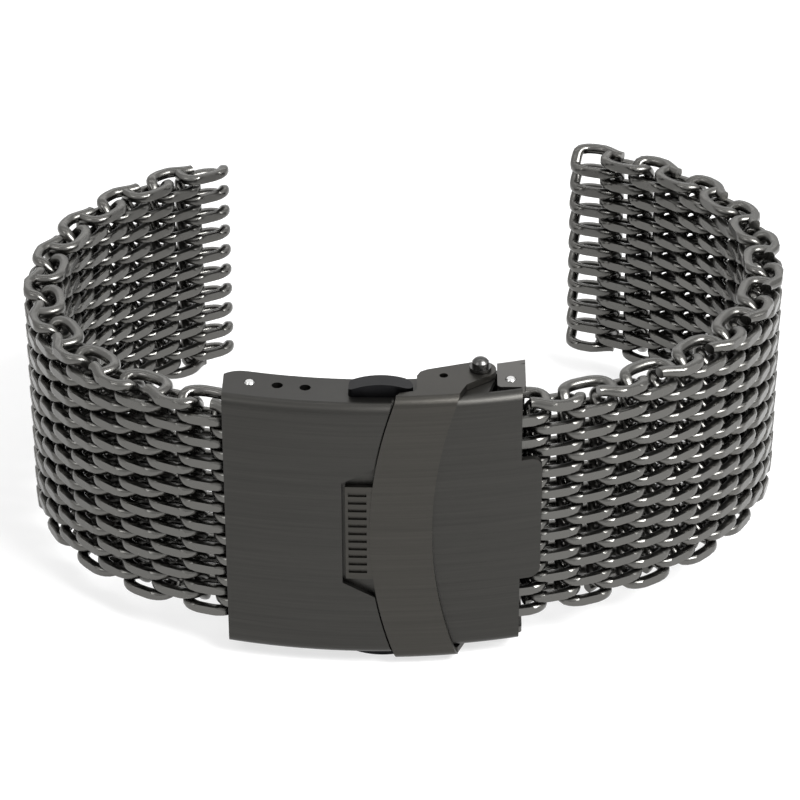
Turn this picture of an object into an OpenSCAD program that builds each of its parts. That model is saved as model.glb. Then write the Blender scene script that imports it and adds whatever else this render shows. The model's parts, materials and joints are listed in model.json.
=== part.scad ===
/* [Mesh] */
// Number of half steps that one spiral climbs across the band; even, so that every turn is whole
layers = 20; // [8:2:24]
// Half of the climb of one turn, which is the offset between two neighbouring spirals
layer_pitch = 1.09; // [0.9:0.01:1.6]
// Free gap where the wires of two neighbouring spirals cross
layer_gap = 0.11; // [0.06:0.01:0.3]
// Spacing of the flat spirals along the band
coil_pitch = 3.1; // [2.9:0.05:4]
// Width of the wire, seen on the open edge of the band
wire_w = 1.05; // [0.7:0.05:1.2]
// Play between two linked spirals
link_play = 0.2; // [0.1:0.02:0.4]
// Height of the tunnel inside one spiral
tunnel_h = 1.5; // [1.3:0.05:2]
// Half depth over which each bend climbs
bend_half = 0.36; // [0.25:0.01:0.37]
// Radius of the ties that join the two spirals of one pair at the edges
tie_r = 0.36; // [0.2:0.02:0.45]
// Heading of each pair of spirals on the left strap, from the clasp to the watch
left_heads = [165.7, 152, 136, 120, 104.5, 89.5, 75, 60, 46, 33];
// Heading of each pair of spirals on the right strap, from the clasp to the watch
right_heads = [15, 26, 38, 50, 64, 78, 92, 107, 124, 140, 157];

/* [Clasp sheet] */
// Radius of the clasp's curve, along the wrist
arch_r = 50; // [35:1:80]
// Sheet thickness of the cover, the lock and the blades
sheet_t = 0.6; // [0.5:0.05:0.8]
// Left end of the cover
cover_x0 = -15.1; // [-18:0.1:-14.8]
// Right end of the cover
cover_x1 = 10.6; // [10.4:0.1:12]
// How far the end tab reaches beyond the cover
tab_l = 1.8; // [0.5:0.1:2.2]
// Width of the end tab across the band
tab_w = 12.2; // [8:0.2:18]
// Free width beside the mesh, on each side, inside the cover
side_play = 0.18; // [0.1:0.02:0.4]
// Depth of the cover's flanges, measured from the face
flange_d = 4.8; // [4.6:0.1:5.2]
// Outer radius of the bends
bend_r = 0.9; // [0.7:0.05:1.2]
// Running gap between sheets that slide or turn on one another
sheet_gap = 0.05; // [0.03:0.01:0.08]

/* [Flip lock] */
// Left edge of the lock strip at the middle of the band
strip_x0 = -2.5; // [-3:0.1:-2]
// Width of the lock strip
strip_w = 5.4; // [4.6:0.1:5.8]
// Radius of the strip's bowed edges
strip_r = 39.8; // [34:0.2:60]
// Length of the ribbed nail tab along the band
nail_l = 2.1; // [1.2:0.1:2.3]
// Width of the ribbed nail tab across the band
nail_w = 9.4; // [6:0.2:11]
// Number of grooves in the nail tab
nail_ribs = 11; // [6:1:14]
// Gap around the lock strip in the cover
lock_gap = 0.15; // [0.1:0.01:0.3]

/* [Hinges] */
// Place of the hinge rivet along the band
hinge_x = 7.0; // [6.6:0.05:7.1]
// Place of the fold pin along the band
fold_x = -4.95; // [-5.1:0.05:-4.4]
// Depth of both hinge axes below the face
hinge_d = 4.6; // [4.5:0.05:4.8]
// Radius of the hinge rivet and the fold pin
pin_r = 0.5; // [0.4:0.02:0.56]
// Running clearance of the hinge bores, on the radius
pin_gap = 0.03; // [0.02:0.01:0.06]
// Outer radius of the knuckles
knuckle_r = 0.85; // [0.75:0.02:0.88]
// Radius of the hinge lobes on the cover and the lock
lobe_r = 1.35; // [1.2:0.05:1.4]
// Width of the two blades across the band
blade_w = 15; // [12:0.2:17]
// Share of the fold hinge taken by the middle blade
fold_mid_w = 7; // [4:0.2:9]

/* [Spring bars] */
// Place of the left spring bar along the band
bar_a_x = -12.8; // [-12.9:0.05:-12.5]
// Depth of the left spring bar below the face
bar_a_d = 3.0; // [2.9:0.05:3.1]
// Place of the right spring bar along the band
bar_b_x = 9.6; // [9.5:0.02:9.65]
// Depth of the right spring bar below the face
bar_b_d = 3.4; // [3.3:0.02:3.5]
// Outer radius of the spring bar tubes
bar_r = 0.69; // [0.62:0.01:0.7]
// Wall of the spring bar tubes
bar_wall = 0.18; // [0.14:0.01:0.2]
// Radius of the sprung tips
tip_r = 0.45; // [0.38:0.01:0.46]
// Running clearance of the tips in their bores
tip_gap = 0.04; // [0.02:0.01:0.08]
// Length of each tip inside its tube
tip_in = 3.0; // [2.4:0.1:4]
// Stroke of each tip
tip_stroke = 0.8; // [0.7:0.02:0.9]
// Spacing of the spring-bar holes
hole_step = 2.4; // [2.2:0.05:2.5]
// Number of spring-bar hole pairs
hole_pairs = 3; // [2:1:3]

/* [Push buttons] */
// Middle of the buttons along the band
button_x = -1.5; // [-1.8:0.05:-1.3]
// Length of the button caps
button_l = 5.5; // [4.6:0.1:5.6]
// Thickness of the button caps
button_t = 1.7; // [1.3:0.05:1.8]
// Depth of the button's middle below the face
button_d = 2.65; // [2.6:0.02:2.7]
// How far the caps stand out of the flanges
button_out = 1.2; // [1.05:0.05:1.4]
// Radius of the arched cap
button_arch = 7; // [5:0.5:12]
// Stroke of the buttons
button_stroke = 1.0; // [0.6:0.05:1.0]
// Thickness of each button slide
slide_t = 0.5; // [0.4:0.02:0.5]
// Half width of the window in each slide
window_half = 1.4; // [1.3:0.05:1.5]
// Width of each rail of a slide
rail_w = 1.0; // [0.8:0.05:1.1]
// Radius of the catch post's head
head_r = 1.1; // [0.9:0.05:1.15]
// Radius of the catch post's stem
stem_r = 0.7; // [0.5:0.05:0.8]

/* [Springs] */
// Coils of each button spring
button_coils = 5; // [3:1:8]
// Coils of each spring-bar spring
bar_coils = 7; // [4:1:9]

/* [Hidden] */
$fn = 48;
lp = layer_pitch;
wire_h = lp - layer_gap;
mesh_w = (layers + 1) * lp + wire_h;
band_t = tunnel_h + 2 * wire_w;
loop_l = coil_pitch + 2 * wire_w + link_play;
reach = loop_l / 2 + 0.2;
end_c = loop_l / 2 - band_t / 2;
in_z = mesh_w / 2 + side_play;
out_z = in_z + sheet_t;
lock_in_z = out_z + sheet_gap;
lock_z = lock_in_z + sheet_t;
bed_d = sheet_t + sheet_gap;
xc = (cover_x0 + cover_x1) / 2;
blade_d = hinge_d - sheet_t / 2;
base_d = hinge_d + knuckle_r + 0.25;
hinge_w = in_z - sheet_gap;
tab_x0 = strip_x0 - nail_l;
ear_x0 = hinge_x + lobe_r + 0.1;
ear_x1 = bar_b_x + 1.3;
slide_d1 = 2.1;
slide_d2 = slide_d1 + slide_t + 0.1;
head_d = 1.4;
head_t = 0.6;
shoulder_z = in_z - sheet_gap;
shoulder_t = 1.0;
lug_z = 5.2;
lug_t = 0.8;
bar_half = in_z - sheet_gap;
tube_in = bar_r - bar_wall;
plug_half = 0.6;

function arc_y(x, d) = arch_r - sqrt(pow(arch_r - d, 2) - pow(x - xc, 2));
function unit(a) = [cos(a), sin(a)];
function head_at(h, k) =
    let (t = (k - 0.5) / 2, j = min(max(floor(t), 0), len(h) - 2))
    h[j] + (h[j + 1] - h[j]) * (t - j);
function hinge_pt(p, h, k) =
    k <= 0 ? p - unit(head_at(h, 0)) * (coil_pitch / 2 - end_c)
           : hinge_pt(p, h, k - 1) + unit(head_at(h, k - 1)) * coil_pitch;

bar_a = [bar_a_x, arc_y(bar_a_x, bar_a_d)];
bar_b = [bar_b_x, arc_y(bar_b_x, bar_b_d)];
hinge_p = [hinge_x, arc_y(hinge_x, hinge_d)];
fold_p = [fold_x, arc_y(fold_x, hinge_d)];
left_pts = [for (k = [0 : 2 * len(left_heads)]) hinge_pt(bar_a, left_heads, k)];
right_pts = [for (k = [0 : 2 * len(right_heads)]) hinge_pt(bar_b, right_heads, k)];

function ends_of(pts, h) = [for (k = [0 : len(pts) - 2])
    (pts[k] + pts[k + 1]) / 2 + unit(head_at(h, k)) * end_c];
left_ends = ends_of(left_pts, left_heads);
right_ends = ends_of(right_pts, right_heads);
x_lo = min([for (p = left_ends) p[0]]) - band_t / 2;
x_hi = max([for (p = right_ends) p[0]]) + band_t / 2;
y_hi = max([for (p = concat(left_ends, right_ends)) p[1]]) + band_t / 2;
z_lo = out_z + button_out;
shift = [-(x_lo + x_hi) / 2, -y_hi / 2, z_lo];

// flat-sided ring of one spiral, seen along its axis
module ring_plan() {
    difference() {
        union() {
            square([2 * end_c, band_t], center = true);
            translate([end_c, 0]) circle(r = band_t / 2);
            translate([-end_c, 0]) circle(r = band_t / 2);
        }
        square([2 * end_c, tunnel_h], center = true);
        translate([end_c, 0]) circle(r = tunnel_h / 2);
        translate([-end_c, 0]) circle(r = tunnel_h / 2);
    }
}

module strand(x0, x1, n) {
    translate([x0, n * lp - wire_h / 2]) square([x1 - x0, wire_h]);
}

module bend(n0, n1) {
    h = wire_h / 2;
    polygon([[-bend_half, n0 * lp - h], [bend_half, n1 * lp - h],
        [bend_half, n1 * lp + h], [-bend_half, n0 * lp + h]]);
}

module ring_solid() translate([0, 0, -2 * lp]) linear_extrude(height = (layers + 4) * lp) ring_plan();

module outside() intersection() {
    ring_solid();
    translate([0, -bend_half, 0]) rotate([90, 0, 0]) linear_extrude(height = band_t) children();
}

module inside() intersection() {
    ring_solid();
    translate([0, bend_half + band_t, 0]) rotate([90, 0, 0]) linear_extrude(height = band_t) children();
}

module near_end() intersection() {
    ring_solid();
    translate([-reach, 0, 0]) rotate([90, 0, 90]) linear_extrude(height = reach) children();
}

module far_end() intersection() {
    ring_solid();
    rotate([90, 0, 90]) linear_extrude(height = reach) children();
}

// one flat spiral of level strands, whose bends climb one layer each; its ends are short hooks
module first_coil() translate([0, 0, (1 - layers) * lp / 2]) {
    outside() {
        for (n = [0 : 2 : layers - 2]) strand(-reach, reach, n);
        strand(end_c - 0.3, reach, layers);
    }
    inside() {
        for (n = [1 : 2 : layers - 1]) strand(-reach, reach, n);
        strand(end_c - 0.3, reach, -1);
    }
    near_end() for (n = [0 : 2 : layers - 2]) bend(n, n + 1);
    far_end() for (n = [0 : 2 : layers]) bend(n, n - 1);
}

// its neighbour, one layer higher, with both ends blunt at the near side
module second_coil() translate([0, 0, (1 - layers) * lp / 2]) {
    outside() {
        for (n = [1 : 2 : layers - 3]) strand(-reach, reach, n);
        strand(-end_c - 0.8, reach, layers - 1);
    }
    inside() {
        for (n = [2 : 2 : layers - 2]) strand(-reach, reach, n);
        strand(-end_c - 0.8, reach, 0);
    }
    near_end() for (n = [1 : 2 : layers - 3]) bend(n, n + 1);
    far_end() for (n = [1 : 2 : layers - 1]) bend(n, n - 1);
}

// short links that tie the two spirals of a pair at both edges
module ties() {
    y = sqrt(pow((band_t - wire_w) / 2, 2) - pow(coil_pitch / 2 - end_c, 2));
    for (z = [-(layers - 1) / 2, (layers - 1) / 2])
        translate([0, -y, z * lp]) cylinder(r = tie_r, h = lp);
    for (z = [-(layers + 1) / 2, (layers - 3) / 2])
        translate([0, y, z * lp]) cylinder(r = tie_r, h = lp);
}

module mesh_pair(pts, h, j, turn) {
    for (k = [2 * j, 2 * j + 1])
        translate([(pts[k][0] + pts[k + 1][0]) / 2, (pts[k][1] + pts[k + 1][1]) / 2, 0])
            rotate([0, 0, head_at(h, k) + turn]) {
                if ((k % 2 == 0) == (turn == 0)) first_coil();
                else second_coil();
            }
    translate([pts[2 * j + 1][0], pts[2 * j + 1][1], 0])
        rotate([0, 0, (head_at(h, 2 * j) + head_at(h, 2 * j + 1)) / 2 + turn]) ties();
}

module left_pair(j) {
    color([0.24, 0.24, 0.25]) mesh_pair(left_pts, left_heads, j, 180);
}

module right_pair(j) {
    color([0.24, 0.24, 0.25]) mesh_pair(right_pts, right_heads, j, 0);
}

module placed() {
    translate(shift) children();
}

// part of the ring between two depths below the face, seen along the band's width
module ring_plan_at(d0, d1) {
    translate([xc, arch_r]) difference() {
        circle(r = arch_r - d0);
        circle(r = arch_r - d1);
    }
}

// the same ring, swept only over the clasp
module arc_slab(d0, d1, z0, z1) {
    translate([xc, arch_r, 0]) rotate_extrude(angle = 44, start = -112)
        translate([arch_r - d1, z0]) square([d1 - d0, z1 - z0]);
}

module rounded_front(r, half, deep, corner) intersection() {
    translate([r - deep, -half]) square([deep, 2 * half]);
    union() {
        translate([r - deep, -half]) square([deep - corner, 2 * half]);
        translate([r - deep, -half + corner]) square([deep, 2 * (half - corner)]);
        translate([r - corner, half - corner]) circle(r = corner);
        translate([r - corner, corner - half]) circle(r = corner);
    }
}

// arched channel: face and two flanges with rounded bends
module channel(d0, half, deep) {
    translate([xc, arch_r, 0]) rotate_extrude(angle = 44, start = -112) difference() {
        rounded_front(arch_r - d0, half, deep, bend_r);
        rounded_front(arch_r - d0 - sheet_t, half - sheet_t, deep, bend_r - sheet_t);
    }
}

// a plan drawn on the face, cut straight through the band's thickness
module through_face() {
    translate([0, 15, 0]) rotate([90, 0, 0]) linear_extrude(height = 20) children();
}

module both_edges(z0, h) {
    translate([0, 0, z0]) linear_extrude(height = h) children();
    translate([0, 0, -z0 - h]) linear_extrude(height = h) children();
}

module raised_plan() {
    n = nail_w / 2 + 0.4;
    difference() {
        translate([cover_x0 - 2, -out_z - 1]) square([20, 2 * out_z + 2]);
        translate([strip_x0 + strip_r, 0]) circle(r = strip_r + lock_gap);
        polygon([[tab_x0 - 0.3, -n], [tab_x0 + nail_l + 0.6, -n - 1.6],
            [tab_x0 + nail_l + 0.6, n + 1.6], [tab_x0 - 0.3, n]]);
    }
}

module cover_plan() {
    c = 1.0;
    translate([cover_x0, -out_z - 1]) square([cover_x1 - cover_x0, 2 * out_z + 2]);
    translate([cover_x1 - 1, c - tab_w / 2]) square([tab_l + 1, tab_w - 2 * c]);
    translate([cover_x1 - 1, -tab_w / 2]) square([tab_l + 1 - c, tab_w]);
    translate([cover_x1 + tab_l - c, tab_w / 2 - c]) circle(r = c);
    translate([cover_x1 + tab_l - c, c - tab_w / 2]) circle(r = c);
}

module bed_plan() {
    intersection() {
        cover_plan();
        difference() {
            translate([tab_x0 - 2, -out_z - 1]) square([40, 2 * out_z + 2]);
            translate([-0.3, 0]) raised_plan();
        }
    }
}

module step_plan() {
    difference() {
        raised_plan();
        translate([-sheet_t, 0]) raised_plan();
    }
}

// outline that both flanges keep, seen along the band's width
module flange_plan() {
    lobe_top = arc_y(hinge_x, 1);
    ring_plan_at(-1, 1.7);
    difference() {
        intersection() {
            ring_plan_at(0, flange_d);
            translate([cover_x0 - 1, -2]) square([hinge_x - cover_x0, 16]);
        }
        translate([cover_x0, arc_y(cover_x0, flange_d)]) rotate([0, 0, -16]) difference() {
            translate([-2, -2]) square([4, 4]);
            translate([2, -2]) circle(r = 2);
            translate([-3, -4]) square([6, 2]);
            translate([2, -3]) square([3, 4]);
        }
    }
    translate(hinge_p) circle(r = lobe_r);
    polygon([[hinge_x - lobe_r - 0.8, lobe_top], [hinge_x + 0.5, lobe_top],
        [hinge_p[0] + lobe_r * cos(20), hinge_p[1] - lobe_r * sin(20)],
        [hinge_p[0] - lobe_r * 0.9, hinge_p[1] + lobe_r * 0.4]]);
}

module button_plan(g) {
    r = button_t / 2;
    q = 0.4;
    translate([-button_l / 2 + q, -r - g]) square([button_l - q - r, button_t + 2 * g]);
    translate([-button_l / 2 - g, -r + q]) square([2 * q, button_t - 2 * q]);
    translate([-button_l / 2 + q, r - q]) circle(r = q + g);
    translate([-button_l / 2 + q, q - r]) circle(r = q + g);
    translate([button_l / 2 - r, 0]) circle(r = r + g);
}

button_y = arc_y(button_x, button_d);

module cover() color([0.33, 0.32, 0.30]) placed() difference() {
    union() {
        intersection() {
            channel(0, out_z, 6.4);
            through_face() intersection() {
                cover_plan();
                raised_plan();
            }
        }
        intersection() {
            channel(bed_d, out_z, 6.4 - bed_d);
            through_face() bed_plan();
        }
        intersection() {
            arc_slab(0, bed_d + sheet_t, bend_r - out_z, out_z - bend_r);
            through_face() step_plan();
        }
    }
    both_edges(in_z - 0.3, 3) difference() {
        translate([cover_x0 - 3, -4]) square([40, 24]);
        flange_plan();
    }
    for (i = [0 : hole_pairs - 1])
        translate([bar_a_x + i * hole_step, arc_y(bar_a_x + i * hole_step, bar_a_d), -20])
            cylinder(r = tip_r + tip_gap, h = 40);
    translate([hinge_p[0], hinge_p[1], -20]) cylinder(r = pin_r + pin_gap, h = 40);
    both_edges(in_z - 0.2, 3) translate([button_x, button_y]) button_plan(sheet_gap);
}

module rail_guides() {
    x0 = window_half + rail_w + sheet_gap;
    for (sx = [-1, 1]) for (sz = [-1, 1]) {
        translate([button_x + sx * (x0 + 0.3) - 0.3, bed_d + sheet_t + 0.2, sz * 4.2 - 0.8])
            cube([0.6, 2.35, 1.6]);
        translate([button_x + sx * (x0 - 0.1) - 0.7, slide_d2 + slide_t + 0.1, sz * 4.2 - 0.8])
            cube([1.4, 0.35, 1.6]);
    }
}

module latch_guide() color([0.40, 0.40, 0.40]) placed() {
    z = lug_z + lug_t;
    difference() {
        intersection() {
            arc_slab(bed_d + sheet_t + 0.01, bed_d + sheet_t + 0.3, -z, z);
            translate([button_x - window_half - rail_w - 0.65, -1, -z])
                cube([2 * (window_half + rail_w + 0.65), 4, 2 * z]);
        }
        translate([button_x, -1, 0]) rotate([-90, 0, 0]) cylinder(r = head_r + 0.35, h = 5);
    }
    rail_guides();
    for (s = [-1, 1])
        translate([button_x - 0.9, bed_d + sheet_t + 0.2, s * (lug_z + lug_t / 2) - lug_t / 2])
            cube([1.8, 2.1, lug_t]);
}

// the lock's flange, seen along the band's width, with the bay for the button
module lock_flange_plan() {
    e = strip_x0 + strip_r - sqrt(pow(strip_r, 2) - pow(lock_z, 2));
    b = button_x + button_l / 2 + 0.3;
    difference() {
        union() {
            polygon([[e, arc_y(e, 0.8)], [e + 0.3, arc_y(e + 0.3, 1.4)], [b - 0.2, arc_y(b - 0.2, 1.6)],
                [b, arc_y(b, 2.0)], [b, arc_y(b, 4.2)], [b + 0.3, arc_y(b, 4.9)], [b + 0.9, arc_y(b, 5.3)],
                [hinge_p[0] - 0.15, hinge_p[1] + lobe_r], [hinge_p[0] + lobe_r, hinge_p[1]],
                [hinge_p[0] + 0.6, hinge_p[1] - lobe_r * 0.9], [e + strip_w + 0.6, arc_y(e + strip_w, 2.3)],
                [e + strip_w, arc_y(e + strip_w, 0.8)]]);
            translate(hinge_p) circle(r = lobe_r);
        }
        translate(hinge_p) circle(r = pin_r + pin_gap);
        translate([hinge_x - 3.15, arc_y(hinge_x - 3.15, 4)]) circle(r = 0.38);
    }
}

module strip_plan() {
    intersection() {
        difference() {
            translate([strip_x0 + strip_r, 0]) circle(r = strip_r);
            translate([strip_x0 + strip_r + strip_w, 0]) circle(r = strip_r);
        }
        translate([strip_x0 - 1, -lock_z - 1]) square([14, 2 * lock_z + 2]);
    }
}

module flip_lock() color([0.36, 0.35, 0.33]) placed() {
    step = (nail_w - 0.8) / nail_ribs;
    intersection() {
        channel(0, lock_z, 1.0);
        through_face() strip_plan();
    }
    both_edges(lock_in_z, sheet_t) lock_flange_plan();
    difference() {
        intersection() {
            arc_slab(0.1, sheet_t, -nail_w / 2, nail_w / 2);
            through_face() translate([tab_x0, -nail_w / 2]) square([nail_l + 0.9, nail_w]);
        }
        intersection() {
            arc_slab(-1, 0.3, -nail_w, nail_w);
            through_face() for (i = [0 : nail_ribs - 1])
                translate([tab_x0 + 0.25, 0.5 * step + i * step - (nail_w - 0.8) / 2 - step / 4])
                    square([nail_l - 0.5, step / 2]);
        }
    }
}

module hinge_rivet() color([0.55, 0.55, 0.56]) placed() translate([hinge_p[0], hinge_p[1], 0]) {
    translate([0, 0, -lock_z - sheet_gap]) cylinder(r = pin_r, h = 2 * (lock_z + sheet_gap));
    translate([0, 0, lock_z + sheet_gap]) cylinder(r = 0.95, h = 0.25);
    translate([0, 0, lock_z + sheet_gap + 0.25]) cylinder(r = 0.72, h = 0.25);
    intersection() {
        translate([0, 0, lock_z + sheet_gap + 0.25]) sphere(r = 0.85);
        translate([0, 0, lock_z + sheet_gap + 0.4]) cylinder(r = 0.72, h = 2);
    }
    translate([0, 0, -lock_z - sheet_gap - 0.3]) cylinder(r = 0.95, h = 0.3);
}

module middle_blade() color([0.45, 0.45, 0.46]) placed() {
    reach = sqrt(pow(button_x + head_r - fold_x, 2) + pow(hinge_d - head_d, 2));
    slot_x0 = button_x - stem_r - 0.15;
    slot_x1 = fold_x + reach + 0.15;
    difference() {
        union() {
            intersection() {
                arc_slab(blade_d, blade_d + sheet_t, -blade_w / 2, blade_w / 2);
                translate([fold_x, -1, -20]) cube([hinge_x - fold_x, 15, 40]);
            }
            translate([hinge_p[0], hinge_p[1], -hinge_w]) cylinder(r = knuckle_r, h = 2 * hinge_w);
            translate([fold_p[0], fold_p[1], -fold_mid_w / 2]) cylinder(r = knuckle_r, h = fold_mid_w);
        }
        both_edges(fold_mid_w / 2, 9) translate(fold_p) circle(r = knuckle_r + 0.12);
        translate([hinge_p[0], hinge_p[1], -20]) cylinder(r = pin_r + pin_gap, h = 40);
        translate([fold_p[0], fold_p[1], -20]) cylinder(r = pin_r + pin_gap, h = 40);
        translate([slot_x0, 0, -head_r - 0.15]) cube([slot_x1 - slot_x0, 12, 2 * head_r + 0.3]);
    }
}

module fold_pin() color([0.6, 0.6, 0.62]) placed()
    translate([fold_p[0], fold_p[1], 0.05 - blade_w / 2]) cylinder(r = pin_r, h = blade_w - 0.1);

module inner_blade_plan() {
    w = blade_w / 2;
    polygon([[fold_x - 0.6, -w], [hinge_x - 1.6, -w], [hinge_x - 0.4, 0.1 - in_z], [ear_x0, 0.1 - in_z],
        [ear_x0, -out_z], [ear_x1, -out_z], [ear_x1, out_z], [ear_x0, out_z], [ear_x0, in_z - 0.1],
        [hinge_x - 0.4, in_z - 0.1], [hinge_x - 1.6, w], [fold_x - 0.6, w]]);
}

module ear_plan() {
    y0 = arc_y(ear_x1, 1.8);
    y1 = arc_y((ear_x0 + ear_x1) / 2, base_d + 0.2);
    q = 0.4;
    difference() {
        union() {
            translate([ear_x0, y0 + q]) square([ear_x1 - ear_x0, y1 - y0 - q]);
            translate([ear_x0 + q, y0]) square([ear_x1 - ear_x0 - 2 * q, 2 * q]);
            translate([ear_x0 + q, y0 + q]) circle(r = q);
            translate([ear_x1 - q, y0 + q]) circle(r = q);
        }
        translate(bar_b) circle(r = tip_r + tip_gap);
    }
}

module inner_blade() color([0.50, 0.50, 0.51]) placed() {
    k0 = fold_mid_w / 2 + 0.06;
    difference() {
        union() {
            intersection() {
                arc_slab(base_d, base_d + sheet_t, -out_z, out_z);
                through_face() inner_blade_plan();
            }
            both_edges(k0, blade_w / 2 - k0) {
                translate(fold_p) circle(r = knuckle_r);
                translate([fold_x - 0.6, fold_p[1]]) square([1.2, base_d - hinge_d + 0.2]);
            }
        }
        translate([fold_p[0], fold_p[1], -20]) cylinder(r = pin_r + pin_gap, h = 40);
        translate([button_x, 0, 0]) rotate([-90, 0, 0]) cylinder(r = 0.47, h = 12);
    }
    both_edges(in_z, sheet_t) ear_plan();
}

module catch_post() color([0.6, 0.6, 0.62]) placed() translate([button_x, 0, 0]) rotate([-90, 0, 0]) {
    seat = arc_y(button_x + 1, base_d) - 0.03;
    translate([0, 0, head_d]) cylinder(r1 = head_r - 0.2, r2 = head_r, h = 0.2);
    translate([0, 0, head_d + 0.2]) cylinder(r = head_r, h = head_t - 0.2);
    translate([0, 0, head_d + 0.3]) cylinder(r = stem_r, h = seat - head_d - 0.3);
    translate([0, 0, seat - 0.25]) cylinder(r = 0.95, h = 0.25);
    translate([0, 0, seat - 0.2]) cylinder(r = 0.45, h = sheet_t + 0.25);
}

module button(d1) {
    w = window_half + rail_w;
    hook_z = head_r + sheet_gap + 0.02;
    near_z = head_r + button_stroke + 0.15;
    y1 = arc_y(button_x, d1);
    intersection() {
        translate([button_x, button_y, shoulder_z - 0.3])
            linear_extrude(height = out_z + button_out + 0.3 - shoulder_z + 0.5) button_plan(0);
        translate([button_x, button_y + 4, out_z + button_out - button_arch])
            rotate([90, 0, 0]) cylinder(r = button_arch, h = 8);
    }
    translate([button_x - button_l / 2 - 0.35, button_y - button_t / 2, shoulder_z - shoulder_t])
        cube([button_l + 0.7, button_t, shoulder_t]);
    translate([button_x - w, y1, -hook_z - 1]) cube([rail_w, slide_t, shoulder_z + hook_z + 0.8]);
    translate([button_x + w - rail_w, y1, -hook_z - 1]) cube([rail_w, slide_t, shoulder_z + hook_z + 0.8]);
    translate([button_x - w, y1, -hook_z - 1]) cube([2 * w, slide_t, 1]);
    translate([button_x - w, y1, near_z]) cube([2 * w, slide_t, 1]);
}

module button_upper() color([0.12, 0.12, 0.13]) placed() button(slide_d1);

module button_lower() color([0.12, 0.12, 0.13]) placed() mirror([0, 0, 1]) button(slide_d2);

// helical spring along the band's width, with a flat seat at each end
module spring(r, wire, length, turns) {
    linear_extrude(height = length, twist = -360 * turns, slices = 8 * turns, $fn = 6)
        translate([r, 0]) circle(r = wire, $fn = 6);
    for (z = [0, length - wire])
        translate([0, 0, z]) difference() {
            cylinder(r = r + wire, h = wire);
            translate([0, 0, -1]) cylinder(r = r - wire, h = 3);
        }
}

module button_spring(s) {
    z0 = lug_z + lug_t + 0.02;
    mirror([0, 0, s]) translate([button_x, button_y, z0])
        spring(0.62, 0.14, shoulder_z - shoulder_t - z0 - 0.02, button_coils);
}

module button_spring_upper() color([0.7, 0.7, 0.72]) placed() button_spring(0);

module button_spring_lower() color([0.7, 0.7, 0.72]) placed() button_spring(1);

module bar_tube(p) translate([p[0], p[1], 0]) difference() {
    translate([0, 0, -bar_half]) cylinder(r = bar_r, h = 2 * bar_half);
    translate([0, 0, plug_half]) cylinder(r = tube_in, h = 20);
    translate([0, 0, -plug_half - 20]) cylinder(r = tube_in, h = 20);
}

module bar_tip(p, s) mirror([0, 0, s]) translate([p[0], p[1], 0]) {
    translate([0, 0, bar_half - tip_in]) cylinder(r = tip_r, h = tip_in + out_z - bar_half);
    translate([0, 0, out_z]) cylinder(r1 = tip_r, r2 = tip_r - 0.12, h = 0.12);
}

module bar_spring(p, s) mirror([0, 0, s]) translate([p[0], p[1], plug_half + 0.02])
    spring(0.32, 0.1, bar_half - tip_in - plug_half - 0.04, bar_coils);

module bar_a_tube() color([0.5, 0.5, 0.52]) placed() bar_tube(bar_a);

module bar_a_tip_upper() color([0.75, 0.75, 0.77]) placed() bar_tip(bar_a, 0);

module bar_a_tip_lower() color([0.75, 0.75, 0.77]) placed() bar_tip(bar_a, 1);

module bar_a_spring_upper() color([0.7, 0.7, 0.72]) placed() bar_spring(bar_a, 0);

module bar_a_spring_lower() color([0.7, 0.7, 0.72]) placed() bar_spring(bar_a, 1);

module bar_b_tube() color([0.5, 0.5, 0.52]) placed() bar_tube(bar_b);

module bar_b_tip_upper() color([0.75, 0.75, 0.77]) placed() bar_tip(bar_b, 0);

module bar_b_tip_lower() color([0.75, 0.75, 0.77]) placed() bar_tip(bar_b, 1);

module bar_b_spring_upper() color([0.7, 0.7, 0.72]) placed() bar_spring(bar_b, 0);

module bar_b_spring_lower() color([0.7, 0.7, 0.72]) placed() bar_spring(bar_b, 1);

module mesh_left_01() placed() left_pair(0);

module mesh_left_02() placed() left_pair(1);

module mesh_left_03() placed() left_pair(2);

module mesh_left_04() placed() left_pair(3);

module mesh_left_05() placed() left_pair(4);

module mesh_left_06() placed() left_pair(5);

module mesh_left_07() placed() left_pair(6);

module mesh_left_08() placed() left_pair(7);

module mesh_left_09() placed() left_pair(8);

module mesh_left_10() placed() left_pair(9);

module mesh_right_01() placed() right_pair(0);

module mesh_right_02() placed() right_pair(1);

module mesh_right_03() placed() right_pair(2);

module mesh_right_04() placed() right_pair(3);

module mesh_right_05() placed() right_pair(4);

module mesh_right_06() placed() right_pair(5);

module mesh_right_07() placed() right_pair(6);

module mesh_right_08() placed() right_pair(7);

module mesh_right_09() placed() right_pair(8);

module mesh_right_10() placed() right_pair(9);

module mesh_right_11() placed() right_pair(10);

cover();
latch_guide();
flip_lock();
hinge_rivet();
middle_blade();
fold_pin();
inner_blade();
catch_post();
button_upper();
button_lower();
button_spring_upper();
button_spring_lower();
bar_a_tube();
bar_a_tip_upper();
bar_a_tip_lower();
bar_a_spring_upper();
bar_a_spring_lower();
bar_b_tube();
bar_b_tip_upper();
bar_b_tip_lower();
bar_b_spring_upper();
bar_b_spring_lower();
mesh_left_01();
mesh_left_02();
mesh_left_03();
mesh_left_04();
mesh_left_05();
mesh_left_06();
mesh_left_07();
mesh_left_08();
mesh_left_09();
mesh_left_10();
mesh_right_01();
mesh_right_02();
mesh_right_03();
mesh_right_04();
mesh_right_05();
mesh_right_06();
mesh_right_07();
mesh_right_08();
mesh_right_09();
mesh_right_10();
mesh_right_11();
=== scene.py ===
"""Mesh watch band: wire mesh, springs, brushed black clasp, white studio."""
import json
import math

import bpy
import numpy as np
from mathutils import Matrix, Vector

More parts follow.
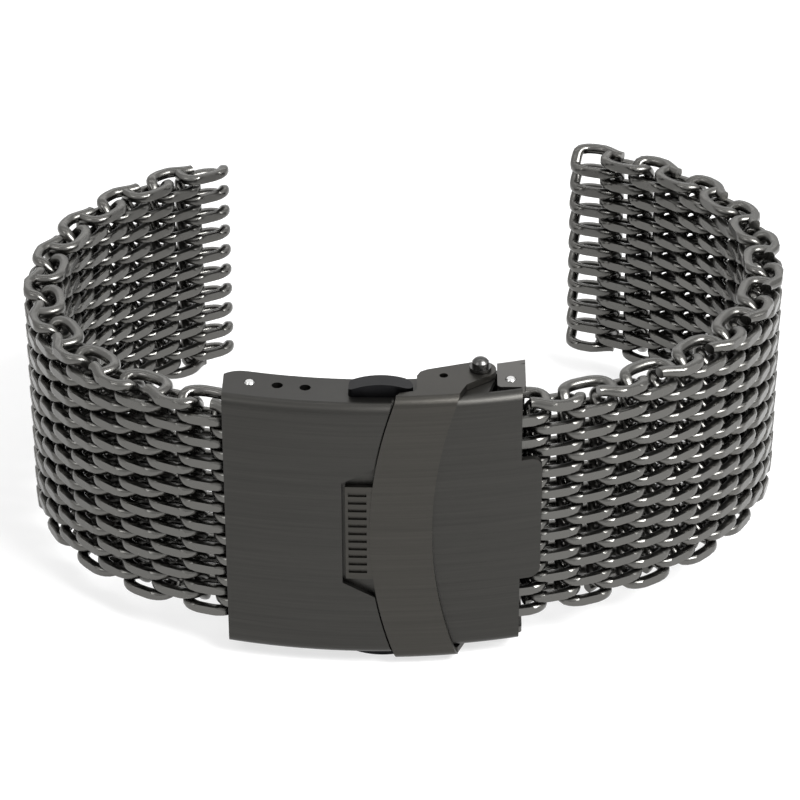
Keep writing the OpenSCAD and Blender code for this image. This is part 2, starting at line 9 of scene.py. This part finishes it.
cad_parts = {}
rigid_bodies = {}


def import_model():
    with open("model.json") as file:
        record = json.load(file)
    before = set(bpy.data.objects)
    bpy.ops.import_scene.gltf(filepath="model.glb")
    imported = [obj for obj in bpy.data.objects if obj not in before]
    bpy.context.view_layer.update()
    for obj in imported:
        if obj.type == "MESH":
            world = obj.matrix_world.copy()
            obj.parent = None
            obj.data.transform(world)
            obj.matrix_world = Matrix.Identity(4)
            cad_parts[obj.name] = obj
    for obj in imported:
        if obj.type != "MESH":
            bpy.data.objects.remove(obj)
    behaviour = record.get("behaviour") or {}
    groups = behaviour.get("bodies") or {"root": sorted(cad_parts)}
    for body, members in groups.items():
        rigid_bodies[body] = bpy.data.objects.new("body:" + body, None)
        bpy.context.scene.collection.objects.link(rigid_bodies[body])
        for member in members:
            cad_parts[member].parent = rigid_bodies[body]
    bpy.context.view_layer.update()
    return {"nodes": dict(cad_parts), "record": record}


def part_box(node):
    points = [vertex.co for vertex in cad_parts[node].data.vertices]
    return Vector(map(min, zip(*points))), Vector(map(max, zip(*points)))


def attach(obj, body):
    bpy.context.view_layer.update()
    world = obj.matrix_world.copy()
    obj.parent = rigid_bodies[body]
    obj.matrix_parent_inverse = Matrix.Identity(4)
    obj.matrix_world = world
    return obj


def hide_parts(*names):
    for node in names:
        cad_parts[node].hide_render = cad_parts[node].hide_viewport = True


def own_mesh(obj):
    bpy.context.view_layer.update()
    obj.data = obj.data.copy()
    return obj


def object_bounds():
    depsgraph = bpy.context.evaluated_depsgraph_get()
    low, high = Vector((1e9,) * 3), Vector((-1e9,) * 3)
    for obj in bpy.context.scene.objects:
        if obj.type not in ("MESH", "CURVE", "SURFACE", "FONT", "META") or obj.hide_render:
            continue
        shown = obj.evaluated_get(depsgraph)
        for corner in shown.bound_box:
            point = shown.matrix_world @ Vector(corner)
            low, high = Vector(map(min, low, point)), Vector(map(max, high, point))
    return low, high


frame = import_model()
joints = {j["name"]: j for j in frame["record"]["behaviour"]["joints"]}

# sizes of the mesh in millimetres, as in the solids
LAYERS = 20
LAYER_PITCH = 1.09
LAYER_GAP = 0.11
WIRE_H = LAYER_PITCH - LAYER_GAP
WIRE_W = 1.05
PITCH = 3.1
TUNNEL = 1.5
BAND_T = TUNNEL + 2 * WIRE_W
LOOP_PLAY = 0.2
LOOP = PITCH + 2 * WIRE_W + LOOP_PLAY
END_C = LOOP / 2 - BAND_T / 2
R_MID = (BAND_T - WIRE_W) / 2
A_MID = END_C + R_MID
TOP = (LAYERS - 1) * LAYER_PITCH

# the drawn wire: how far its faces are ground flat, how square its loop is,
# and over which depth a bend climbs its layer
GROUND = 0.22
ROUND = 2.6
CLIMB = 1.5
# the ends at the edges: angle past the last bend, and the lean of the blunt ends
OVERRUN = 32
LEAN = 1.05
LEAN_L = 2.4
LEAN_RISE = 0.1
LEAN_STEPS = (0.25, 0.5, 0.8, 1.1, 1.4, 1.7, 2.0, 2.2, LEAN_L)
# angles at which half a turn is sampled, closest at the bend
HALF_TURN = (-90, -87, -83, -78, -72, -64, -54, -42, -28, -14, -7, 0,
             7, 14, 28, 42, 54, 64, 72, 78, 83, 87)
MIN_STEP = 2
# section of the wire
SECTION_POINTS = 16
SECTION_ROUND = 2.5
SECTION_FILL = 0.95
SHARP_DEG = 28

# direction in plan of each pair of spirals, in degrees, from the clasp to the watch
LEFT_HEADS = [165.7, 152, 136, 120, 104.5, 89.5, 75, 60, 46, 33]
RIGHT_HEADS = [15, 26, 38, 50, 64, 78, 92, 107, 124, 140, 157]


def mm(p):
    return [1000 * c for c in p]


BAR_A = mm(joints["left_strap_swing"]["pos_m"])
BAR_B = mm(joints["right_strap_swing"]["pos_m"])
Z_MID = (mm(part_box("mesh_left_01")[0])[2] + mm(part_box("mesh_left_01")[1])[2]) / 2


def unit(a):
    return np.array([math.cos(math.radians(a)), math.sin(math.radians(a))])


def power(x, e):
    """x to the power e, with the sign of x."""
    return math.copysign(abs(x) ** e, x)


def head_at(heads, k):
    """Direction of spiral k, between the directions of the pairs."""
    t = (k - 0.5) / 2
    j = min(max(math.floor(t), 0), len(heads) - 2)
    return heads[j] + (heads[j + 1] - heads[j]) * (t - j)


def hinge_points(bar, heads):
    """Points in plan that the spirals lie between, from the spring bar on."""
    pts = [np.array(bar[:2]) - unit(head_at(heads, 0)) * (PITCH / 2 - END_C)]
    for k in range(2 * len(heads)):
        pts.append(pts[-1] + unit(head_at(heads, k)) * PITCH)
    return pts


# one flat spiral as a swept wire: level strands outside and inside, each bend climbs one layer
def ease(t):
    t = min(max(t, 0.0), 1.0)
    return t * t * (3 - 2 * t)


def oval(deg):
    """Point of the wire's centre line in plan: 0 at the far end, 180 at the near one, 270 outside."""
    c, s = math.cos(math.radians(deg)), math.sin(math.radians(deg))
    e = 2 / ROUND
    return A_MID * power(c, e), (R_MID + GROUND) * power(s, e)


def coil_path(start, end, lift):
    """Points (x, y, z) of the wire's centre line, from one angle to another."""
    turns = [180 * m + h for m in range(-1, LAYERS + 1) for h in HALF_TURN]
    between = [t for t in turns if start + MIN_STEP < t < end - MIN_STEP]
    pts = []
    for t in [start] + between + [end]:
        x, y = oval(-t)
        q = math.floor(t / 180 + 0.5)
        inward = 1 if q % 2 else -1
        z = LAYER_PITCH * (q - 1 + lift + ease(0.5 + inward * y / CLIMB))
        pts.append((x, y, min(max(z, 0), TOP)))
    return pts


def blunt_end():
    """Last bit of the second kind of spiral: a level strand that leans towards its neighbour."""
    return [(-x, LEAN * ease(x / LEAN_L) - R_MID - GROUND, TOP + LEAN_RISE * ease(x / LEAN_L))
            for x in LEAN_STEPS]


def wire_profile():
    """Section of the wire as (outward, along the band's width)."""
    out = []
    for i in range(SECTION_POINTS):
        a = math.pi * (i + 0.5) / (SECTION_POINTS / 2)
        e = 2 / SECTION_ROUND
        out.append((WIRE_W / 2 * power(math.cos(a), e),
                    SECTION_FILL * WIRE_H / 2 * power(math.sin(a), e)))
    return np.array(out)


PROFILE = wire_profile()


def coil_mesh(path):
    """Vertices, side quads and end caps of the wire along a path, ground flat on both faces."""
    path = np.array(path)
    n = len(path)
    steps = np.linalg.norm(np.diff(path, axis=0), axis=1)
    run = np.concatenate([[0], np.cumsum(steps)])
    tan = np.gradient(path, run, axis=0)
    tan /= np.linalg.norm(tan, axis=1)[:, None]
    normal = np.stack([-tan[:, 1], tan[:, 0], 0 * tan[:, 0]], axis=1)
    normal /= np.linalg.norm(normal, axis=1)[:, None]
    bi = np.cross(normal, tan)
    bi *= np.where(bi[:, 2] < 0, -1.0, 1.0)[:, None]
    v = (path[:, None, :] + normal[:, None, :] * PROFILE[None, :, 0, None]
         + bi[:, None, :] * PROFILE[None, :, 1, None]).reshape(-1, 3)
    v[:, 1] = np.clip(v[:, 1], -BAND_T / 2, BAND_T / 2)
    v[:, 2] -= TOP / 2
    m = len(PROFILE)
    i = np.arange(n - 1)[:, None] * m
    j = np.arange(m)[None, :]
    k = (j + 1) % m
    quads = np.stack([i + j, i + k, i + m + k, i + m + j], axis=-1).reshape(-1, 4)
    caps = [list(range(m - 1, -1, -1)), list(range((n - 1) * m, n * m))]
    return v, quads, caps


# the first kind closes at the far end, against the blunt ends of the second kind
END = blunt_end()
START = [(x, -y, TOP - z) for x, y, z in END[::-1]]
FIRST = coil_mesh(coil_path(-OVERRUN, 180 * LAYERS + OVERRUN, 0))
SECOND = coil_mesh(START + coil_path(-90, 180 * LAYERS - 270, 1) + END)


def mesh_pair(body, pts, heads, j, turn):
    """Pair j of a strap's spirals. turn is 180 where the strap leaves the clasp to the left."""
    verts, faces, off = [], [], 0
    for k in (2 * j, 2 * j + 1):
        v, quads, caps = FIRST if (k % 2 == 0) == (turn == 0) else SECOND
        c = (pts[k] + pts[k + 1]) / 2
        ca, sa = unit(head_at(heads, k) + turn)
        w = np.empty_like(v)
        w[:, 0] = c[0] + v[:, 0] * ca - v[:, 1] * sa
        w[:, 1] = c[1] + v[:, 0] * sa + v[:, 1] * ca
        w[:, 2] = Z_MID + v[:, 2]
        verts.append(w)
        faces += (quads + off).tolist()
        faces += [[x + off for x in cap] for cap in caps]
        off += len(w)
    verts = np.concatenate(verts) / 1000
    me = bpy.data.meshes.new("wire_" + body)
    me.from_pydata(verts.tolist(), [], faces)
    me.validate()
    me.shade_smooth()
    me.set_sharp_from_angle(angle=math.radians(SHARP_DEG))
    me.materials.append(WIRE)
    ob = bpy.data.objects.new("wire_" + body, me)
    bpy.context.scene.collection.objects.link(ob)
    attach(ob, body)
    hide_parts(body)


# materials
def new_mat(name, color, rough):
    m = bpy.data.materials.new(name)
    m.use_nodes = True
    b = m.node_tree.nodes["Principled BSDF"]
    b.inputs["Base Color"].default_value = (*color, 1)
    b.inputs["Roughness"].default_value = rough
    b.inputs["Metallic"].default_value = 1.0
    return m, m.node_tree, b


def add(nt, kind, **inputs):
    n = nt.nodes.new(kind)
    for k, v in inputs.items():
        n.inputs[k.replace("_", " ")].default_value = v
    return n


def noise_from(nt, vector, **inputs):
    n = add(nt, "ShaderNodeTexNoise", **inputs)
    nt.links.new(vector, n.inputs["Vector"])
    return n.outputs["Fac"]


def mix_colour(nt, b, fac, dark, light):
    mix = nt.nodes.new("ShaderNodeMix")
    mix.data_type = "RGBA"
    mix.inputs["A"].default_value = (*dark, 1)
    mix.inputs["B"].default_value = (*light, 1)
    nt.links.new(fac, mix.inputs["Factor"])
    nt.links.new(mix.outputs["Result"], b.inputs["Base Color"])


def vary_roughness(nt, b, fac, low, high):
    n = add(nt, "ShaderNodeMapRange", To_Min=low, To_Max=high)
    nt.links.new(fac, n.inputs["Value"])
    nt.links.new(n.outputs["Result"], b.inputs["Roughness"])


def bump(nt, b, fac, strength, distance):
    n = add(nt, "ShaderNodeBump", Strength=strength, Distance=distance)
    nt.links.new(fac, n.inputs["Height"])
    nt.links.new(n.outputs["Normal"], b.inputs["Normal"])


# how far the roughness of worn metal strays below and above its mean
SMOOTHER = 0.06
ROUGHER = 0.08


def wire_material():
    """Black wire: fine pits, and patches that are more or less worn."""
    m, nt, b = new_mat("black_wire", (0.108, 0.106, 0.100), 0.24)
    place = add(nt, "ShaderNodeTexCoord").outputs["Object"]
    bump(nt, b, noise_from(nt, place, Scale=900.0, Detail=3.0), 0.06, 0.0001)
    vary_roughness(nt, b, noise_from(nt, place, Scale=260.0, Detail=2.0), 0.18, 0.36)
    return m


def brushed_material(name, dark, light, rough):
    """Black-coated sheet with fine lines brushed along the band."""
    m, nt, b = new_mat(name, dark, rough)
    place = add(nt, "ShaderNodeTexCoord").outputs["Object"]
    stretch = add(nt, "ShaderNodeMapping", Scale=(60, 60, 3600))
    nt.links.new(place, stretch.inputs["Vector"])
    lines = noise_from(nt, stretch.outputs["Vector"], Scale=1.0, Detail=6.0, Roughness=0.7)
    mix_colour(nt, b, lines, dark, light)
    vary_roughness(nt, b, noise_from(nt, place, Scale=90.0, Detail=3.0),
                   rough - SMOOTHER, rough + ROUGHER)
    bump(nt, b, lines, 0.22, 0.00005)
    return m


def fine_material(name, dark, light, rough, scale):
    """Turned or tumbled metal: a close mottle in colour, roughness and height."""
    m, nt, b = new_mat(name, dark, rough)
    place = add(nt, "ShaderNodeTexCoord").outputs["Object"]
    mottle = noise_from(nt, place, Scale=scale, Detail=4.0)
    mix_colour(nt, b, mottle, dark, light)
    vary_roughness(nt, b, mottle, rough - SMOOTHER, rough + ROUGHER)
    bump(nt, b, mottle, 0.15, 0.00004)
    return m


WIRE = wire_material()
COVER = brushed_material("cover_brushed", (0.030, 0.0295, 0.028), (0.052, 0.0505, 0.047), 0.40)
LOCK = brushed_material("lock_brushed", (0.034, 0.033, 0.030), (0.057, 0.054, 0.049), 0.38)
BLADE = brushed_material("blade_satin", (0.072, 0.070, 0.067), (0.104, 0.101, 0.096), 0.34)
PIN = fine_material("pin_satin", (0.058, 0.057, 0.056), (0.085, 0.084, 0.082), 0.26, 700.0)
TIP = fine_material("tip_bright", (0.36, 0.36, 0.355), (0.46, 0.46, 0.455), 0.24, 500.0)
BUTTON = fine_material("button_black", (0.008, 0.008, 0.009), (0.016, 0.016, 0.017), 0.38, 800.0)
SPRING = fine_material("spring_steel", (0.44, 0.44, 0.44), (0.55, 0.55, 0.54), 0.30, 600.0)

BY_SLOT = {"mesh_steel": WIRE, "cover_steel": COVER, "lock_steel": LOCK, "blade_steel": BLADE,
           "pin_steel": PIN, "tip_steel": TIP, "button_steel": BUTTON, "spring_steel": SPRING}
for sub in frame["record"]["subparts"]:
    for s in frame["nodes"][sub["node"]].material_slots:
        s.material = BY_SLOT[sub["material_slot"]]

for side, bar, heads, turn in (("left", BAR_A, LEFT_HEADS, 180),
                               ("right", BAR_B, RIGHT_HEADS, 0)):
    pts = hinge_points(bar, heads)
    for j in range(len(heads)):
        mesh_pair(f"mesh_{side}_{j + 1:02d}", pts, heads, j, turn)

# the springs that the tip or button presses on: copies in spring steel, carried by the joint's parent
# body
for joint in joints.values():
    for soft in joint.get("deforming_nodes", []):
        node = soft["node"]
        me = frame["nodes"][node].data.copy()
        me.transform(frame["nodes"][node].matrix_world)
        me.materials.clear()
        me.materials.append(SPRING)
        ob = bpy.data.objects.new("coil_" + node, me)
        bpy.context.scene.collection.objects.link(ob)
        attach(ob, joint["parent"])
        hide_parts(node)
        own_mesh(ob)

# floor, light, camera
scene = bpy.context.scene
scene.view_settings.view_transform = "Standard"

FLOOR_HALF = 3.0
FLOOR_DROP = 0.0001
FLOOR_GLOW = 1.12
GLOW_SHARE = 0.62
WORLD_UNSEEN = 0.55
WORLD_SEEN = 1.0


def seen_ray(nt):
    """One for rays from the camera, and for those mirrored or passed on by the object."""
    path = nt.nodes.new("ShaderNodeLightPath")
    out = path.outputs["Is Camera Ray"]
    for kind in ("Is Glossy Ray", "Is Transmission Ray"):
        top = nt.nodes.new("ShaderNodeMath")
        top.operation = "MAXIMUM"
        nt.links.new(out, top.inputs[0])
        nt.links.new(path.outputs[kind], top.inputs[1])
        out = top.outputs[0]
    return out


def stage_floor():
    """White floor that keeps the shadow and glows only for the rays that are seen."""
    s = FLOOR_HALF
    me = bpy.data.meshes.new("floor")
    me.from_pydata([(-s, -s, 0), (s, -s, 0), (s, s, 0), (-s, s, 0)], [], [(0, 1, 2, 3)])
    ob = bpy.data.objects.new("floor", me)
    scene.collection.objects.link(ob)
    ob.location.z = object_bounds()[0][2] - FLOOR_DROP
    m = bpy.data.materials.new("floor_white")
    m.use_nodes = True
    nt = m.node_tree
    b = nt.nodes["Principled BSDF"]
    b.inputs["Base Color"].default_value = (0.90, 0.90, 0.90, 1)
    b.inputs["Roughness"].default_value = 0.9
    b.inputs["Specular IOR Level"].default_value = 0.1
    glow = add(nt, "ShaderNodeEmission", Color=(1, 1, 1, 1), Strength=FLOOR_GLOW)
    mix = nt.nodes.new("ShaderNodeMixShader")
    share = nt.nodes.new("ShaderNodeMath")
    share.operation = "MULTIPLY"
    share.inputs[1].default_value = GLOW_SHARE
    nt.links.new(seen_ray(nt), share.inputs[0])
    nt.links.new(share.outputs[0], mix.inputs[0])
    nt.links.new(b.outputs[0], mix.inputs[1])
    nt.links.new(glow.outputs[0], mix.inputs[2])
    nt.links.new(mix.outputs[0], nt.nodes["Material Output"].inputs["Surface"])
    me.materials.append(m)


def white_world():
    """Plain white world, dimmer for the rays that only light the band."""
    world = bpy.data.worlds.new("studio")
    scene.world = world
    world.use_nodes = True
    nt = world.node_tree
    bg = nt.nodes["Background"]
    bg.inputs["Color"].default_value = (1, 1, 1, 1)
    strength = add(nt, "ShaderNodeMapRange", To_Min=WORLD_UNSEEN, To_Max=WORLD_SEEN)
    nt.links.new(seen_ray(nt), strength.inputs["Value"])
    nt.links.new(strength.outputs["Result"], bg.inputs["Strength"])


def area(name, loc, target, size, watts):
    d = bpy.data.lights.new(name, "AREA")
    d.shape = "RECTANGLE"
    d.size, d.size_y = size
    d.energy = watts
    ob = bpy.data.objects.new(name, d)
    scene.collection.objects.link(ob)
    ob.location = loc
    aim = Vector(target) - Vector(loc)
    ob.rotation_euler = aim.to_track_quat("-Z", "Y").to_euler()


stage_floor()
white_world()

BAND = (0, 0, 0.01)
CLASP_RIGHT = (0.045, -0.03, 0)
area("key_left", (-0.35, -0.25, 0.45), BAND, (0.20, 0.20), 0.6)
area("key_right", (0.40, -0.12, 0.38), BAND, (0.10, 0.25), 1.0)
area("strip_top", (0.0, 0.14, 0.50), BAND, (0.70, 0.05), 0.4)
area("back", (0.05, 0.50, 0.34), BAND, (0.6, 0.08), 0.3)
area("front_right", (0.19, -0.15, 0.28), CLASP_RIGHT, (0.18, 0.18), 2.6)

# the camera, matched to the photograph: focal length in pixels, place in millimetres from a point
# on the clasp's middle line
FOCAL_PX = 3423.0
PHOTO_PX = 800
SENSOR = 36
BAR_TO_MIDDLE = (12.8, -4.199)
MIDDLE = Vector((BAR_A[0] + BAR_TO_MIDDLE[0], BAR_A[1] + BAR_TO_MIDDLE[1], Z_MID))
CAM_PLACE = Vector((3.9, -248.8, 160.9))
CAM_PITCH, CAM_YAW, CAM_ROLL = math.radians(30.64), math.radians(-0.86), math.radians(-0.17)

cam = bpy.data.cameras.new("camera")
cam_ob = bpy.data.objects.new("camera", cam)
scene.collection.objects.link(cam_ob)
scene.camera = cam_ob
cam.sensor_width = SENSOR
cam.lens = FOCAL_PX / PHOTO_PX * SENSOR
cam.clip_start = 0.005
cam.clip_end = 20
cam_ob.location = (CAM_PLACE + MIDDLE) / 1000
forward = Vector((math.sin(CAM_YAW) * math.cos(CAM_PITCH),
                  math.cos(CAM_YAW) * math.cos(CAM_PITCH),
                  -math.sin(CAM_PITCH)))
right = forward.cross(Vector((0, 0, 1))).normalized()
up = right.cross(forward)
rolled_right = right * math.cos(CAM_ROLL) + up * math.sin(CAM_ROLL)
rolled_up = up * math.cos(CAM_ROLL) - right * math.sin(CAM_ROLL)
cam_ob.rotation_euler = Matrix((rolled_right, rolled_up, -forward)).transposed().to_euler()
